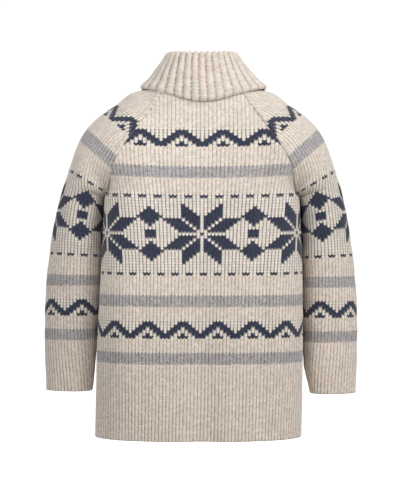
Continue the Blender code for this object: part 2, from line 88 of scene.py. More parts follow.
# The raglan seam, as (height, half the distance between the two seams).
seamTable = np.array((
    (-0.2260, 0.2075),
    (-0.2144, 0.1995),
    (-0.1943, 0.1940),
    (-0.1762, 0.1905),
    (-0.1476, 0.1800),
    (-0.1228, 0.1650),
    (-0.0994, 0.1490),
    (-0.0723, 0.1293),
    (-0.0443, 0.1080),
    (-0.0222, 0.0930),
    (0.0120, 0.0745),
))
# How far the middle of the front's rows hangs, as (height, drop).
dropTable = np.array(((-0.737, 0.0), (-0.140, 0.0), (-0.090, 0.004), (-0.040, 0.014), (0.012, 0.026)))
# How far the rows rise towards the sides, as (height, rise).
riseTable = np.array((
    (-0.737, 0.0), (-0.640, 0.001), (-0.560, 0.003), (-0.450, 0.003), (-0.387, 0.004), (-0.300, 0.008),
    (-0.228, 0.015), (-0.175, 0.023), (-0.100, 0.017), (-0.040, 0.010), (0.012, 0.0),
))
# The width of a stitch, as (height, width): the chest is stretched and the hem is drawn in.
pitchTable = np.array((
    (-0.737, 0.00722), (-0.400, 0.00732), (-0.310, 0.00760), (-0.228, 0.00800),
    (-0.190, 0.00830), (-0.120, 0.00860), (0.012, 0.00860),
))
# The outer line of the right sleeve from cuff to neck, as (across, height).
topLine = np.array((
    (0.3345, -0.6480), (0.3352, -0.6192), (0.3376, -0.5805), (0.3392, -0.5200), (0.3378, -0.4500),
    (0.3332, -0.3870), (0.3268, -0.3354), (0.3180, -0.2838), (0.3055, -0.2322), (0.2968, -0.2010),
    (0.2892, -0.1806), (0.2805, -0.1548), (0.2722, -0.1290), (0.2615, -0.1032), (0.2450, -0.0774),
    (0.2185, -0.0516), (0.1825, -0.0265), (0.1656, -0.0122), (0.1500, -0.0024), (0.1350, 0.0012),
    (0.1200, 0.0050), (0.1000, 0.0112), (0.0850, 0.0155),
))
topLineUnderarm = 9  # the point that is level with the underarm
# Closed rings of the sleeve, as (inner height, outer height, gap to the body, half depth, hang to the front).
sleeveRings = np.array((
    (-0.6480, -0.6480, 0.0150, 0.0440, 0.0230),
    (-0.5800, -0.5800, 0.0050, 0.0490, 0.0260),
    (-0.5200, -0.5200, 0.0016, 0.0530, 0.0280),
    (-0.4500, -0.4500, 0.0008, 0.0575, 0.0285),
    (-0.3870, -0.3850, 0.0010, 0.0620, 0.0270),
    (-0.3300, -0.3210, 0.0014, 0.0665, 0.0230),
    (-0.2900, -0.2740, 0.0018, 0.0690, 0.0170),
    (-0.2500, -0.2270, 0.0020, 0.0705, 0.0075),
    (-0.2260, -0.2010, 0.0006, 0.0700, 0.0000),
))
# Rows of the sleeve over the underarm, as (seam height, the angle at which the cloth leaves the seam,
# reach at the seam, reach at the top).
yokeRows = np.array((
    (-0.2260, 90.0, 0.0933, 0.0933),
    (-0.2144, 66.0, 0.0760, 0.0910),
    (-0.1943, 30.0, 0.0560, 0.0850),
    (-0.1762, 8.0, 0.0460, 0.0760),
    (-0.1476, -10.0, 0.0430, 0.0660),
    (-0.1228, -16.0, 0.0430, 0.0600),
    (-0.0994, -17.0, 0.0410, 0.0540),
    (-0.0723, -18.0, 0.0380, 0.0510),
    (-0.0443, -22.0, 0.0300, 0.0480),
    (-0.0222, -28.0, 0.0220, 0.0430),
    (0.0120, -34.0, 0.0080, 0.0290),
))
# What sets the sleeve's form beside its tables.
sleeveForm = {
    "cuff": -0.648,
    "cuffShift": 0.0042,  # both cuffs' inner sides lie further to the right
    "cuffShiftFrom": -0.585,
    "leftLift": 0.006,  # the left cuff ends higher
    "leftLiftFrom": -0.35,
    "topShift": 0.0020,  # so do both outer lines at the underarm
    "topShiftFrom": -0.30,
    "topFront": 0.004,
    "seamGap": 0.0003,
    "fullBack": 0.30,  # beside the body, so that most of the back faces outwards
    "fullBackTo": -0.40,
    "leftFolds": 0.018,  # the left sleeve's folds lie further up
    "foldSway": 0.012,
    "foldTurn": 2.2,
    "foldEdge": 0.12,
    "foldMiddle": 0.35,  # a fold's depth in the middle against its sides
}


def smoothAt(x, xs, ys):
    # Cubic that never overshoots its points: its slopes are harmonic means of the steps beside them.
    x = np.clip(x, xs[0], xs[-1])
    step = np.diff(xs)
    rise = np.diff(ys) / step
    same = rise[1:] * rise[:-1] > 0
    first = 2 * step[1:] + step[:-1]
    second = step[1:] + 2 * step[:-1]
    before = np.where(same, rise[:-1], 1.0)
    after = np.where(same, rise[1:], 1.0)
    mean = np.where(same, (first + second) / (first / before + second / after), 0.0)
    slope = np.concatenate([rise[:1], mean, rise[-1:]])
    i = np.clip(np.searchsorted(xs, x, side="right") - 1, 0, len(step) - 1)
    h = step[i]
    t = (x - xs[i]) / h
    low = (1 + 2 * t) * (1 - t) ** 2 * ys[i] + t * (1 - t) ** 2 * h * slope[i]
    return low + t * t * (3 - 2 * t) * ys[i + 1] + t * t * (t - 1) * h * slope[i + 1]


def readTable(table, column, x):
    return smoothAt(np.asarray(x, dtype=float), table[:, 0], table[:, column])


def straight(x, low, high):
    return np.clip((x - low) / (high - low), 0, 1)


def ease(x, low, high):
    t = straight(x, low, high)
    return t * t * (3 - 2 * t)


def alongRows(points):
    # The distance along each row of points.
    steps = np.linalg.norm(np.diff(points, axis=1), axis=2)
    return np.concatenate([np.zeros((len(points), 1)), np.cumsum(steps, axis=1)], axis=1)


def lineLengths(points):
    return alongRows(points[None])[0]


def evenly(points, count):
    # Points spread evenly by distance along each row of points, and the rows' lengths.
    along = alongRows(points)
    length = along[:, -1]
    share = np.linspace(0, 1, count)
    out = np.empty((len(points), count, 3))
    for row in range(len(points)):
        for axis in range(3):
            out[row, :, axis] = np.interp(share * length[row], along[row], points[row, :, axis])
    return out, length


def curveBetween(p0, p1, p2, p3, count):
    # Cubic Bezier from p0 to p3 with handles p1 and p2.
    t = np.linspace(0, 1, count)[None, :, None]
    p0, p1, p2, p3 = (p[:, None, :] for p in (p0, p1, p2, p3))
    return (1 - t) ** 3 * p0 + 3 * t * (1 - t) ** 2 * p1 + 3 * t * t * (1 - t) * p2 + t**3 * p3


def halfRing(height, facing):
    # Superellipse |x/a|^n + |y/b|^n = 1 from the middle of a panel to its edge, where the seam cuts it.
    half = readTable(bodyRings, 1, height)
    depth = readTable(bodyRings, 2 if facing < 0 else 3, height)
    seam = readTable(seamTable, 1, height)
    cut = np.where(height > cloth["underarm"], np.minimum(seam / half, 1.0), 1.0)
    power = cloth["ringPower"]
    end = np.arcsin(np.clip(cut ** (power / 2), 0, 1))
    turn = np.linspace(0, 1, samples["ring"])[None, :] * end[:, None]
    x = half[:, None] * np.sin(turn) ** (2 / power)
    y = facing * depth[:, None] * np.maximum(np.cos(turn), 0) ** (2 / power)
    z = np.repeat(height[:, None], samples["ring"], axis=1)
    return np.stack([x, y, z], axis=2)


def foldDepth(folds, across, height):
    # Sum of soft troughs, each a bell across and a bell along.
    total = np.zeros_like(across)
    for a, h, halfAcross, halfHeight, depth in folds:
        away = ((across - a) / halfAcross) ** 2 + ((height - h) / halfHeight) ** 2
        total = total + depth * np.exp(-away)
    return total


def sideLift(across, height):
    # The cloth stands out by |x|, so that it turns late, and less over the yoke and at the hem.
    tall = 1 - lift["chestLoss"] * ease(height, *lift["chest"])
    tall = tall * (1 - ease(height, *lift["yoke"]))
    tall = tall * (lift["hemShare"] + (1 - lift["hemShare"]) * ease(height, *lift["hem"]))
    return cloth["flatness"] * tall * ease(np.abs(across), *lift["sides"])


def sewnShare(height):
    return ease(height, cloth["underarm"], cloth["underarm"] + cloth["sewnOver"])


def seamLift(height):
    # The raglan seam stands out with the cloth on both sides of it, and not at all at the underarm.
    return sideLift(readTable(seamTable, 1, height), height) * sewnShare(height)


def bodySurface(facing, folds):
    # Rows by height and columns by distance along the row, the whole panel as a dense grid.
    height = np.linspace(cloth["hem"], cloth["neck"], samples["bodyRows"])
    ring = halfRing(height, facing)
    along = alongRows(ring)
    sewn = sewnShare(height)[:, None]
    held = sewn + (1 - sewn) * ease(along[:, -1:] - along, 0, cloth["turn"])
    ring[:, :, 1] += facing * held * sideLift(ring[:, :, 0], height[:, None])
    half, length = evenly(ring, samples["bodyHalf"])
    shift = readTable(bodyRings, 4, height)
    grid = np.concatenate([half[:, :0:-1] * np.array([-1, 1, 1]), half], axis=1)
    grid[:, :, 0] += shift[:, None]
    across = np.linspace(-1, 1, grid.shape[1])
    drop = readTable(dropTable, 1, height) * (1.0 if facing > 0 else 0.1)
    grid[:, :, 2] -= drop[:, None] * (1 - across[None, :] ** 2)
    grid[:, :, 1] -= facing * foldDepth(folds, grid[:, :, 0], grid[:, :, 2])
    return {"key": height, "grid": grid, "length": length, "out": -facing}


def sleeveSurface(side, folds):
    # Closed rings from the cuff to the underarm, then rows from the back seam over to the front seam.
    form = sleeveForm
    cuff, underarm, count = form["cuff"], cloth["underarm"], samples["curve"]
    across, heights = topLine[:, 0], topLine[:, 1]
    station = lineLengths(np.stack([across, np.zeros_like(across), heights], axis=1))
    closedZ = np.linspace(cuff, underarm, samples["closedRows"])
    outerZ = readTable(sleeveRings, 1, closedZ)
    rising = slice(0, topLineUnderarm + 3)
    outerX = smoothAt(outerZ, heights[rising], across[rising])
    gap, depth, hang = (readTable(sleeveRings, c, closedZ) for c in (2, 3, 4))
    innerX = readTable(bodyRings, 1, closedZ) + side * readTable(bodyRings, 4, closedZ) + gap
    innerX = innerX + side * form["cuffShift"] * ease(-closedZ, -form["cuffShiftFrom"], -cuff)
    higher = (form["leftLift"] if side < 0 else 0.0) * straight(-closedZ, -form["leftLiftFrom"], -cuff)
    inner = np.stack([innerX, hang, closedZ + higher], axis=1)
    outer = np.stack([outerX, hang + form["topFront"], outerZ + higher], axis=1)
    outer[:, 0] += side * form["topShift"] * straight(closedZ, form["topShiftFrom"], underarm)
    riseZ = np.linspace(underarm, cloth["neck"], samples["seam"])
    seamLength = lineLengths(halfRing(riseZ, -1)[:, -1])
    wanted = np.linspace(0, 1, samples["yokeRows"] + 1)[1:] * seamLength[-1]
    seamZ = np.interp(wanted, seamLength, riseZ)
    topStart = station[topLineUnderarm]
    topPlace = topStart + wanted / seamLength[-1] * (station[-1] - topStart)
    openShift = readTable(bodyRings, 4, seamZ)
    angle = np.radians(readTable(yokeRows, 1, seamZ))
    seamReach = readTable(yokeRows, 2, seamZ)
    topReach = readTable(yokeRows, 3, seamZ)
    topX = smoothAt(topPlace, station, across) + side * openShift
    topY = np.full_like(topX, form["topFront"])
    top = np.stack([topX, topY, smoothAt(topPlace, station, heights)], axis=1)
    halves = []
    for facing in (-1, 1):
        forward = np.array([0.0, facing, 0.0])
        reach = (depth * 4 / 3)[:, None] * forward
        uneven = form["fullBack"] * (1 - ease(closedZ, form["fullBackTo"], underarm))[:, None] * (facing < 0)
        near = curveBetween(inner, inner + reach * (1 + uneven), outer + reach * (1 - uneven), outer, count)
        seam = halfRing(seamZ, facing)[:, -1]
        seam[:, 0] += side * openShift + form["seamGap"]
        seam[:, 1] += facing * seamLift(seamZ)
        out = (top - seam) * np.array([1, 0, 1])
        out /= np.linalg.norm(out, axis=1)[:, None]
        leave = np.cos(angle)[:, None] * out + np.sin(angle)[:, None] * forward
        fromSeam, fromTop = seam + seamReach[:, None] * leave, top + topReach[:, None] * forward
        far = curveBetween(seam, fromSeam, fromTop, top, count)
        halves.append(evenly(np.concatenate([near, far], axis=0), samples["sleeveHalf"]))
    grid = np.concatenate([halves[0][0], halves[1][0][:, -2::-1]], axis=1)
    topColumn = samples["sleeveHalf"] - 1
    middle = (grid[:, 0] + grid[:, topColumn]) / 2
    along = lineLengths(middle[: len(closedZ)])
    along = np.concatenate([along, along[-1] + (station[-1] - topStart) * wanted / seamLength[-1]])
    # Each fold presses the ring in towards its middle, more at the sides and hardly at the seam.
    across = np.linspace(-1, 1, grid.shape[1])
    away = np.abs(across)
    weight = form["foldMiddle"] + (1 - form["foldMiddle"]) * away**2
    weight = weight * np.clip((1 - away) / form["foldEdge"] + 0.15, 0, 1)
    inward = middle[:, None] - grid
    inward[:, :, 2] = 0
    inward /= np.maximum(np.linalg.norm(inward, axis=2, keepdims=True), 0.02)
    sway = form["foldSway"] * np.sin(across * form["foldTurn"] + side)
    for place, halfLength, deep in folds:
        place = place + (form["leftFolds"] if side < 0 else 0.0)
        bump = np.exp(-(((along[:, None] + sway[None, :] - place) / halfLength) ** 2))
        grid = grid + inward * (bump * weight[None, :] * deep)[:, :, None]
    length = (halves[0][1] + halves[1][1]) / 2
    return {"key": along, "grid": grid, "length": length, "out": 1, "underarm": along[len(closedZ) - 1]}


def withNormals(surface):
    # Outward unit normals: the step along a row crossed with the step up the rows.
    grid = surface["grid"]
    normal = np.cross(np.gradient(grid, axis=1), np.gradient(grid, axis=0))
    normal /= np.maximum(np.linalg.norm(normal, axis=2, keepdims=True), 1e-12)
    surface["normal"] = normal * surface["out"]
    return surface


def readGrid(grid, row, col):
    # Bilinear reading of a dense grid at fractional rows and columns.
    row = np.clip(row, 0, grid.shape[0] - 1.000001)
    col = np.clip(col, 0, grid.shape[1] - 1.000001)
    r, c = row.astype(int), col.astype(int)
    fr, fc = (row - r)[..., None], (col - c)[..., None]
    low = grid[r, c] * (1 - fc) + grid[r, c + 1] * fc
    high = grid[r + 1, c] * (1 - fc) + grid[r + 1, c + 1] * fc
    return low * (1 - fr) + high * fr


def onSurface(surface, key, share, offset):
    # The point at a row's key and a share from -1 to 1 across it, moved out along the normal.
    row = np.interp(key, surface["key"], np.arange(len(surface["key"])))
    col = (share + 1) / 2 * (surface["grid"].shape[1] - 1)
    normal = readGrid(surface["normal"], row, col)
    normal /= np.linalg.norm(normal, axis=-1, keepdims=True)
    return readGrid(surface["grid"], row, col) + normal * np.asarray(offset)[..., None]


def zipLines(first, firstAt, second, secondAt):
    # Triangles between two lines of points, each advanced in the order of its places along the line.
    middles = np.concatenate([(firstAt[:-1] + firstAt[1:]) / 2, (secondAt[:-1] + secondAt[1:]) / 2])
    isFirst = np.concatenate([np.ones(len(firstAt) - 1, bool), np.zeros(len(secondAt) - 1, bool)])
    isFirst = isFirst[np.argsort(middles, kind="stable")]
    i = np.cumsum(isFirst) - isFirst
    j = np.cumsum(~isFirst) - ~isFirst
    iNext = np.minimum(i + 1, len(first) - 1)
    jNext = np.minimum(j + 1, len(second) - 1)
    corner = np.where(isFirst, first[iNext], second[jNext])
    return np.stack([first[i], corner, second[j]], axis=1)


def addObject(name, data):
    made = bpy.data.objects.new(name, data)
    bpy.context.scene.collection.objects.link(made)
    return made


def makeMesh(name, points, quads, triangles, uv, yarn, material):
    # Puts whole arrays into a mesh: points, faces, a UV in stitches and rows, and a colour for each face.
    mesh = bpy.data.meshes.new(name)
    corners = np.concatenate([quads.ravel(), triangles.ravel()]).astype(np.int32)
    starts = np.concatenate([np.arange(len(quads)) * 4, len(quads) * 4 + np.arange(len(triangles)) * 3])
    mesh.vertices.add(len(points))
    mesh.vertices.foreach_set("co", points.astype(np.float32).ravel())
    mesh.loops.add(len(corners))
    mesh.loops.foreach_set("vertex_index", corners)
    mesh.polygons.add(len(starts))
    mesh.polygons.foreach_set("loop_start", starts.astype(np.int32))
    mesh.update(calc_edges=True)
    mesh.polygons.foreach_set("use_smooth", np.ones(len(mesh.polygons), bool))
    layer = mesh.uv_layers.new(name="stitches")
    layer.data.foreach_set("uv", uv[corners].astype(np.float32).ravel())
    colours = mesh.attributes.new("yarn", "FLOAT_COLOR", "FACE")
    colours.data.foreach_set("color", yarn.astype(np.float32).ravel())
    mesh.materials.append(material)
    if mesh.validate():
        print(name, "had faces that were put right")
    print(name, "triangles", len(quads) * 2 + len(triangles))
    return addObject(name, mesh)


# The places of a stitch's five columns of points, how high each stands, and how the half rows differ.
stitch = {
    "columns": 5,
    "places": np.array((0.0, 0.21, 0.42, 0.58, 0.79)),
    "profile": np.array((0.0, 0.84, 1.0, 1.0, 0.84)),
    "ribProfile": np.array((0.0, 0.76, 1.0, 1.0, 0.76)),
    "relief": 0.0015,
    "ribRelief": 0.0020,
    "sink": 0.0008,  # how far the valleys lie under the base surface
    "tuck": 0.30,  # share of the relief that the row's start is lower
    "vee": 0.72,  # rows that a leg climbs from the middle of its stitch
    "ribVee": 0.5,  # share of that which is lost in the ribbing
    "ribTuck": 0.55,  # share of the tuck which is lost in the ribbing
    "edgeShare": 0.45,  # the relief's share that is left at a panel's edge
    "margin": 0.12,  # stitches within which a point belongs to the edge
    "edgeClimb": 0.35,  # rows that the edge's points climb, as the legs beside them do
    "edgeSink": 0.0002,
    "innerEvery": 3,  # rows between two rows of points on the inner face
}
# The charts' counts, in stitches and rows.
motifs = {"wave": 10, "crest": 5, "star": 28, "lobe": 5, "lozenge": 3, "lozengeAt": 6, "dash": 4}


def bold(x, y, lobe):
    # Eight-point star: solid lozenges leaning out from the middle, and their mirrors in the diagonals.
    a, b = np.abs(x), np.abs(y)
    cells = np.zeros(np.broadcast(x, y).shape, bool)
    for p, q in ((a, b), (b, a)):
        cells |= (p >= 1) & (p <= lobe) & (q >= p + 1) & (q <= p + lobe)
    return cells


def chart(column, row, plan):
    # The yarn of each stitch: navy where a motif covers it, grey in a stripe, else cream.
    navy = np.zeros(np.broadcast(column, row).shape, bool)
    grey = np.zeros_like(navy)
    work = np.zeros_like(navy)
    for first, last in plan["stripes"]:
        grey |= (row >= first) & (row <= last)
    # Bold wave: a line three rows thick goes up and down, with a seed under each crest.
    crest = motifs["crest"]
    for base in plan["waves"]:
        y = row - base
        x = np.abs(np.mod(column, motifs["wave"]) - crest)
        inBand = (y >= 0) & (y <= crest)
        navy |= inBand & (np.abs(y - crest + x) <= 1)
        navy |= inBand & (x <= 1) & (y <= 1 - x)
        work |= inBand
    # Stars, and between them a solid lozenge over and under a cross, between two dashed lines.
    y = row - plan["stars"]
    halfStar = motifs["star"] // 2
    x = np.mod(column + halfStar, motifs["star"]) - halfStar
    side = np.mod(column, motifs["star"]) - halfStar
    navy |= bold(x, y, motifs["lobe"])
    navy |= (x == 0) & (y == 0)
    for at in (-motifs["lozengeAt"], motifs["lozengeAt"]):
        navy |= np.abs(side) + np.abs(y - at) <= motifs["lozenge"]
    navy |= (np.abs(side) <= 1) & (np.abs(y) <= 1)
    low, high = plan["dashes"]
    navy |= ((row == low) | (row == high)) & (np.mod(column, motifs["dash"]) <= 1)
    work |= (row >= low) & (row <= high)
    return navy, grey, work


def softEnds(v, rows):
    # 0 at the first and the last row, and 1 from two rows inside them.
    return ease(v, 0, 1.5) * ease(rows - v, 0.3, 2.0)


def inOrder(ids, places):
    # Each point of a line once, in the order of its place.
    ids, at = np.unique(ids, return_index=True)
    order = np.argsort(places[at])
    return ids[order], places[at][order]


def knitPanel(name, surface, values, plan, material):
    # A wall of knitting: stitches stand out of the outer face, the inner face is plain, and rims close it.
    surface = withNormals(surface)
    rows = values["rows"]
    widest = values["stitches"]
    per = stitch["columns"]
    columnCount = int(2 * math.ceil(widest / 2 - 0.5) + 1)
    step = np.arange(columnCount * per + 1) % per
    fraction = stitch["places"][step]
    u = (np.arange(columnCount * per + 1) // per + fraction - columnCount / 2)[None, :]
    v = (np.arange(rows * 2 + 1) / 2)[:, None]
    # Rows follow the legs of the stitches, apart from the first and last ones.
    lean = stitch["vee"] * np.abs(2 * fraction - 1)[None, :] * softEnds(v, rows)
    vv = np.clip(v + lean * (1 - stitch["ribVee"] * values["ribbed"](v)), 0, rows)
    half = values["half"]
    key = values["key"](u + 0 * vv, vv)
    limit = half(key)
    inner = np.abs(u) < limit - stitch["margin"]
    uu = np.clip(u + 0 * vv, -limit, limit)
    key = values["key"](uu, vv)
    share = np.clip(uu / half(key), -1, 1)
    ribbed = values["ribbed"](vv)
    profile = stitch["profile"][step][None, :] * (1 - ribbed)
    profile = profile + stitch["ribProfile"][step][None, :] * ribbed
    relief = stitch["relief"] * (1 - ribbed) + stitch["ribRelief"] * ribbed
    tuck = np.where(np.arange(rows * 2 + 1) % 2 == 0, -stitch["tuck"], 0.0)[:, None]
    toEdge = limit - np.abs(uu)
    raised = relief * profile * (1 + tuck * (1 - stitch["ribTuck"] * ribbed))
    raised = raised * (stitch["edgeShare"] + (1 - stitch["edgeShare"]) * ease(toEdge, 0.0, 1.2))
    raised = raised - stitch["sink"] + values["seamRise"](vv) * (1 - ease(toEdge, 0.5, 1.5))
    points = onSurface(surface, key, share, raised)
    # Edge points, one at each end of each row.
    vAt = v[:, 0]
    vEdge = np.clip(vAt + stitch["edgeClimb"] * softEnds(vAt, rows), 0, rows)
    edges = []
    for sign in (-1, 1):
        uEdge = sign * half(values["key"](sign * widest / 2 + 0 * vEdge, vEdge))
        for _ in range(4):
            uEdge = sign * half(values["key"](uEdge, vEdge))
        keyEdge = values["key"](uEdge, vEdge)
        edgeShare = np.full(len(vEdge), float(sign))
        edges.append((uEdge, onSurface(surface, keyEdge, edgeShare, 0 * vEdge - stitch["edgeSink"])))
    cells = points.shape[0] * points.shape[1]
    index = np.arange(cells).reshape(points.shape[:2])
    leftIds = cells + np.arange(len(vEdge))
    rightIds = leftIds + len(vEdge)
    index = np.where(inner, index, np.where(u < 0, leftIds[:, None], rightIds[:, None]))
    a, b, c, d = index[:-1, :-1], index[:-1, 1:], index[1:, 1:], index[1:, :-1]
    stitchColumn = np.floor(u[0, :-1] + 0.5 + 1e-6).astype(int)[None, :] + 0 * a
    stitchRow = np.repeat(np.arange(rows), 2)[:, None] + 0 * a
    faces = np.stack([a, b, c, d], axis=2).reshape(-1, 4)
    # A face with one side gathered into an edge point is a triangle, and one with more is none.
    same = faces == np.roll(faces, -1, axis=1)
    whole = ~same.any(axis=1)
    lowFlat = same[:, 0] & (same.sum(axis=1) == 1)
    highFlat = same[:, 2] & (same.sum(axis=1) == 1)
    column, row = stitchColumn.ravel(), stitchRow.ravel()
    navy, grey, work = chart(column, row, plan)
    mix = np.random.default_rng(values["seed"]).random((rows, columnCount + 2))
    tone = mix[row, np.clip(column - column.min(), 0, columnCount)]
    yarn = np.stack([navy, grey, work, tone], axis=1).astype(float)
    quads = faces[whole]
    triangles = np.concatenate([faces[lowFlat][:, [0, 2, 3]], faces[highFlat][:, [0, 1, 2]]])
    yarnAll = [yarn[whole], yarn[lowFlat], yarn[highFlat]]
    uvAll = [np.stack([(u + 0 * vv).ravel(), vv.ravel()], axis=1)]
    uvAll += [np.stack([edge[0], vEdge], axis=1) for edge in edges]
    allPoints = [points.reshape(-1, 3), edges[0][1], edges[1][1]]
    # Inner face: plain rows, each with its own even points.
    start = cells + 2 * len(vEdge)
    innerRows = np.append(np.arange(0, rows * 2, 2 * stitch["innerEvery"]), rows * 2)
    lines = []
    for line in innerRows:
        reach = (edges[1][0][line] - edges[0][0][line]) / 2
        count = max(3, int(round(reach)))
        along = np.linspace(edges[0][0][line], edges[1][0][line], 2 * count + 1)
        keyLine = values["key"](along, vEdge[line] + 0 * along)
        shareLine = np.clip(along / half(keyLine), -1, 1)
        shareLine[0], shareLine[-1] = -1, 1
        allPoints.append(onSurface(surface, keyLine, shareLine, 0 * along - cloth["wall"]))
        uvAll.append(np.stack([along, vEdge[line] + 0 * along], axis=1))
        lines.append((start + np.arange(len(along)), along, line))
        start += len(along)
    inside = [zipLines(*low[:2], *high[:2])[:, ::-1] for low, high in zip(lines[:-1], lines[1:])]
    # Rims: hem or cuff, neck, and the two long edges.
    rims = [zipLines(*inOrder(index[0], u[0]), *lines[0][:2])[:, ::-1]]
    rims.append(zipLines(*inOrder(index[-1], u[0]), *lines[-1][:2]))
    for ids, end, turned in ((leftIds, 0, False), (rightIds, -1, True)):
        second = np.array([line[0][end] for line in lines])
        secondAt = vAt[[line[2] for line in lines]]
        strip = zipLines(ids, vAt, second, secondAt)
        rims.append(strip[:, ::-1] if turned else strip)
    extra = np.concatenate(inside + rims)
    triangles = np.concatenate([triangles, extra])
    plain = np.zeros((len(extra), 4))
    plain[:, 3] = 0.5
    yarnAll.append(plain)
    allPoints = np.concatenate(allPoints)
    uvAll = np.concatenate(uvAll)
    yarnAll = np.concatenate(yarnAll)
    allPoints[:, 0] *= values["mirror"]
    if values["mirror"] * surface["out"] < 0:
        quads, triangles = quads[:, ::-1], triangles[:, ::-1]
    # Points that no face uses are left out.
    used, back = np.unique(np.concatenate([quads.ravel(), triangles.ravel()]), return_inverse=True)
    quads = back[: quads.size].reshape(-1, 4)
    triangles = back[quads.size :].reshape(-1, 3)
    return makeMesh(name, allPoints[used], quads, triangles, uvAll[used], yarnAll, material)


# Noises, as (cells to a metre, detail, roughness).
noises = {
    "fine": (950.0, 3.0, 0.65),
    "middle": (300.0, 2.0, 0.6),
    "broad": (9.0, 2.0, 0.5),
    "knots": (230.0, 1.0, 0.5),
    "speckle": (620.0, 2.0, 0.7),
    "patches": (170.0, 1.0, 0.5),
    "paint": (3.0, 2.0, 0.5),
}
# Soft steps, as (from, to) of a place in the stitch or of a noise.
ramps = {
    # Where the painted shade of the valleys between columns falls.
    "valleyShade": (0.56, 0.96),
    "groove": (0.0, 0.20),
    # Where the painted shade of the gaps between a column's stitches falls.
    "gap": (0.26, 0.50),
    "dotUp": (0.20, 0.33),
    "dotAcross": (0.62, 0.78),
    "heather": (0.36, 0.66),
    "marl": (0.30, 0.75),
    "navySpeck": (0.42, 0.85),
    "knots": (0.34, 0.64),
    "patches": (0.36, 0.62),
}


def feed(tree, socket, value):
    # A number or a colour goes in as it is, and another node's output by a link.
    if isinstance(value, (int, float, tuple)):
        socket.default_value = value
    else:
        tree.links.new(value, socket)


def mathNode(tree, operation, *values):
    node = tree.nodes.new("ShaderNodeMath")
    node.operation = operation
    for socket, value in zip(node.inputs, values):
        feed(tree, socket, value)
    return node.outputs[0]


def product(tree, a, b):
    return mathNode(tree, "MULTIPLY", a, b)


def scaled(tree, value, scale, plus):
    return mathNode(tree, "MULTIPLY_ADD", value, scale, plus)


def mixNode(tree, factor, a, b, blend="MIX"):
    node = tree.nodes.new("ShaderNodeMix")
    node.data_type = "RGBA"
    node.blend_type = blend
    for socket, value in ((node.inputs[0], factor), (node.inputs[6], a), (node.inputs[7], b)):
        feed(tree, socket, value)
    return node.outputs[2]


def rampNode(tree, value, which):
    node = tree.nodes.new("ShaderNodeMapRange")
    node.interpolation_type = "SMOOTHSTEP"
    feed(tree, node.inputs["Value"], value)
    node.inputs["From Min"].default_value, node.inputs["From Max"].default_value = ramps[which]
    return node.outputs["Result"]


def noiseNode(tree, vector, which):
    node = tree.nodes.new("ShaderNodeTexNoise")
    feed(tree, node.inputs["Vector"], vector)
    for label, value in zip(("Scale", "Detail", "Roughness"), noises[which]):
        feed(tree, node.inputs[label], value)
    return node.outputs["Fac"]


def axisNode(tree, vector, axis):
    split = tree.nodes.new("ShaderNodeSeparateXYZ")
    feed(tree, split.inputs[0], vector)
    return split.outputs[axis]


def newMaterial(name):
    material = bpy.data.materials.new(name)
    material.use_nodes = True
    tree = material.node_tree
    return material, tree, tree.nodes.new("ShaderNodeTexCoord").outputs["Object"]


def finishMaterial(tree, values):
    for label, value in values.items():
        feed(tree, tree.nodes["Principled BSDF"].inputs[label], value)


def woolFibre(tree, place, mottle):
    # Fibre: fine and middling noise, as a lightness around 1 and a height for bumps.
    fine = noiseNode(tree, place, "fine")
    middle = noiseNode(tree, place, "middle")
    both = mathNode(tree, "ADD", product(tree, fine, 0.4), product(tree, middle, 0.6))
    spread = product(tree, mathNode(tree, "SUBTRACT", both, 0.5), mottle)
    slow = product(tree, mathNode(tree, "SUBTRACT", noiseNode(tree, place, "broad"), 0.5), 0.06)
    return mathNode(tree, "ADD", scaled(tree, spread, 2.4, 1.0), slow), both


def stitchPlace(tree, stitches, lean):
    # Where a point is in its stitch: how near the valley between two columns, and where along the leg.
    fraction = mathNode(tree, "FRACT", mathNode(tree, "ADD", axisNode(tree, stitches, "X"), 0.5))
    fold = mathNode(tree, "ABSOLUTE", scaled(tree, fraction, 2.0, -1.0))
    climbed = mathNode(tree, "SUBTRACT", axisNode(tree, stitches, "Y"), product(tree, fold, lean))
    rise = mathNode(tree, "FRACT", climbed)
    away = mathNode(tree, "ABSOLUTE", mathNode(tree, "SUBTRACT", rise, 0.5))
    strand = scaled(tree, fold, 1.6, product(tree, rise, 2.0))
    upright = mathNode(tree, "SUBTRACT", 1.0, rampNode(tree, away, "dotUp"))
    # The valley and the gap masks place painted shade, and the dot mask places the floats behind.
    return {
        "valleyShade": rampNode(tree, fold, "valleyShade"),
        "groove": mathNode(tree, "SUBTRACT", 1.0, rampNode(tree, fold, "groove")),
        "strand": mathNode(tree, "SINE", product(tree, strand, 9.4)),
        "gap": rampNode(tree, away, "gap"),
        "dot": product(tree, rampNode(tree, fold, "dotAcross"), upright),
    }


